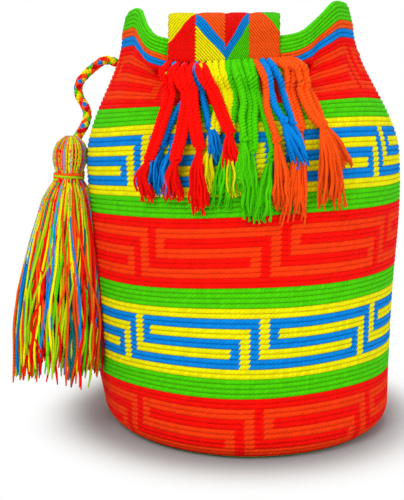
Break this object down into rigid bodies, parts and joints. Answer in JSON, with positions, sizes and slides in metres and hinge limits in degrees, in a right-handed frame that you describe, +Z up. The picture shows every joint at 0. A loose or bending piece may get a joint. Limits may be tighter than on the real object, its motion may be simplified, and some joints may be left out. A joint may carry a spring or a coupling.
{
  "type": "crocheted bucket bag",
  "caption": "Crocheted bucket bag with fret bands, a woven shoulder strap folded over the mouth, a drawstring with yarn tassels, and fringes of twisted cord.",
  "frame": {"origin": "centre of the base, on the surface the bag stands on", "axes": "+Z up, the front with the strap's end and the front fringe faces -Y, +X to a viewer's right"},
  "size_m": [0.2752, 0.2624, 0.2975],
  "materials": {
    "crochet_wall": "matt single crochet in red, orange, green, yellow and blue cotton",
    "strap_weave": "matt braided weave in diagonal ribs of several colours",
    "braid": "matt round braid in several colours",
    "tassel_yarn": "loose matt cotton yarn in several colours",
    "binding_yarn": "matt cotton yarn wound round and round",
    "cord_red": "matt twisted cord",
    "cord_orange": "matt twisted cord",
    "cord_green": "matt twisted cord",
    "cord_blue": "matt twisted cord",
    "cord_yellow": "matt twisted cord"
  },
  "bodies": {
    "root": {"bag_body": "crochet_wall", "shoulder_strap": "strap_weave", "drawstring": "braid", "drawstring_end_front": "braid", "drawstring_end_rear": "braid", "tassel_front": "tassel_yarn", "tassel_rear": "tassel_yarn", "tassel_front_binding": "binding_yarn", "tassel_rear_binding": "binding_yarn", "fringe_front_red_1": "cord_red", "fringe_front_blue_1": "cord_blue", "fringe_front_red_2": "cord_red", "fringe_front_red_4": "cord_red", "fringe_front_blue_3": "cord_blue", "fringe_front_yellow_1": "cord_yellow", "fringe_front_yellow_2": "cord_yellow", "fringe_front_green_1": "cord_green", "fringe_front_green_3": "cord_green", "fringe_front_green_4": "cord_green", "fringe_front_blue_5": "cord_blue", "fringe_front_orange_3": "cord_orange", "fringe_front_orange_5": "cord_orange", "fringe_front_blue_2": "cord_blue", "fringe_front_red_3": "cord_red", "fringe_front_green_2": "cord_green", "fringe_front_orange_1": "cord_orange", "fringe_front_blue_4": "cord_blue", "fringe_front_orange_4": "cord_orange", "fringe_rear_orange_1": "cord_orange", "fringe_rear_orange_2": "cord_orange", "fringe_rear_blue_3": "cord_blue", "fringe_rear_green_4": "cord_green", "fringe_rear_green_5": "cord_green", "fringe_rear_yellow_6": "cord_yellow", "fringe_rear_red_7": "cord_red", "fringe_rear_yellow_8": "cord_yellow", "fringe_rear_blue_9": "cord_blue", "fringe_rear_red_10": "cord_red", "fringe_rear_red_11": "cord_red"}
  },
  "joints": []
}
